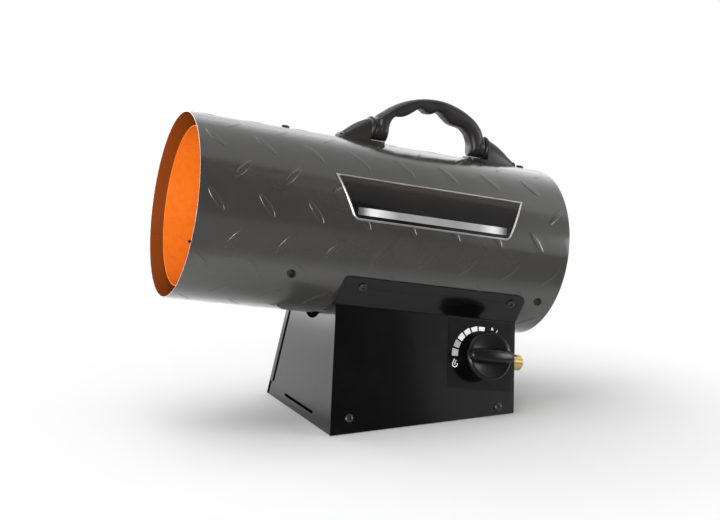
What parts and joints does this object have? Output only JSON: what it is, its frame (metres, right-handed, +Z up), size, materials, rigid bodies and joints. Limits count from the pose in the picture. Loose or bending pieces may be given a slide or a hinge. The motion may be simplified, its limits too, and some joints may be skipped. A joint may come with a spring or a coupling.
{
  "type": "forced air heater",
  "caption": "Portable forced-air gas heater: tilted steel tube with burner and fan, folded sheet base with control knob, swinging carry handle.",
  "frame": {"origin": "on the ground, under the middle of the base", "axes": "+X along the heater toward the air intake, hot outlet toward -X; +Z up; the control knob is on the -Y side"},
  "size_m": [0.3973, 0.1903, 0.3057],
  "materials": {
    "tube_paint": "satin black enamel over embossed sheet steel",
    "base_paint": "gloss black enamel",
    "chamber_steel": "heat-tinted sheet steel",
    "plated_steel": "zinc-plated sheet steel",
    "lamination": "blued electrical steel",
    "bright_chrome": "bright chrome",
    "black_screw": "black oxide, slightly glossy",
    "cover_screw": "black enamel",
    "brass": "turned brass",
    "copper": "bright copper pipe",
    "die_cast": "die-cast zinc, as cast",
    "fan_aluminium": "stamped aluminium",
    "ceramic": "glazed white ceramic",
    "black_plastic": "black moulded plastic, satin",
    "grip_plastic": "black moulded plastic, fine matt grain",
    "module_plastic": "potted module case",
    "coil_tape": "yellow winding tape",
    "label_black": "printed scale on black film",
    "plate_black": "gloss black plate",
    "rubber": "black rubber",
    "lead_red": "silicone lead"
  },
  "bodies": {
    "casing": {"outer_shell": "tube_paint", "combustion_tube": "chamber_steel", "front_standoffs": "plated_steel", "rear_standoffs": "plated_steel", "shell_screws": "black_screw", "chamber_end_plate": "chamber_steel", "burner_cup": "chamber_steel", "flame_spreader": "chamber_steel", "gas_jet": "brass", "jet_bracket": "plated_steel", "jet_elbow": "brass", "gas_pipe": "copper", "probe_bracket": "plated_steel", "igniter_insulator": "ceramic", "igniter_rod": "plated_steel", "igniter_lead": "lead_red", "thermocouple": "copper", "thermocouple_lead": "copper", "limit_switch": "black_plastic", "ignition_module": "module_plastic", "terminal_block": "black_plastic", "riser_grommet": "rubber", "motor_grommet": "rubber", "motor_lead": "rubber", "stator_stack": "lamination", "motor_coil": "coil_tape", "front_bridge": "plated_steel", "rear_bridge": "plated_steel", "front_bearing": "brass", "rear_bearing": "brass", "motor_bolts": "plated_steel", "motor_spider": "plated_steel", "rear_guard": "base_paint", "base_pan": "base_paint", "control_panel": "base_paint", "side_cover": "base_paint", "cover_screws": "cover_screw", "gas_inlet_fitting": "brass", "inlet_nut": "brass", "cord_gland": "black_plastic", "valve_body": "die_cast", "valve_spring": "plated_steel", "valve_screws": "plated_steel", "control_label": "label_black", "nameplate": "plate_black", "nameplate_rim": "bright_chrome", "handle_boot_front": "black_plastic", "handle_boot_rear": "black_plastic", "handle_pins": "plated_steel", "boot_screws": "black_screw"},
    "rotor": {"motor_shaft": "plated_steel", "rotor_core": "lamination", "fan": "fan_aluminium", "fan_hub": "fan_aluminium", "fan_clip": "plated_steel"},
    "plug": {"valve_plug": "brass"},
    "knob": {"knob": "black_plastic", "valve_stem": "brass"},
    "handle": {"handle_grip": "grip_plastic"}
  },
  "joints": [
    {"name": "fan_spin", "type": "hinge", "parent": "casing", "child": "rotor", "pos_m": [0.07197, 0, 0.16189], "axis": [0.9877, 0, -0.1564], "continuous": true},
    {"name": "knob_turn", "type": "hinge", "parent": "casing", "child": "plug", "pos_m": [0.0678, -0.07089, 0.05573], "axis": [0.0392, -0.9681, 0.2473], "range_deg": [-124, 14]},
    {"name": "knob_push", "type": "slide", "parent": "plug", "child": "knob", "axis": [-0.0392, 0.9681, -0.2473], "range_m": [0, 0.004], "stiffness_N_per_m": 900, "springref_m": -0.003, "deforming": ["valve_spring"]},
    {"name": "handle_swing", "type": "hinge", "parent": "casing", "child": "handle", "pos_m": [0.04596, 0, 0.26624], "axis": [0.9877, 0, -0.1564], "range_deg": [-90, 90]}
  ]
}
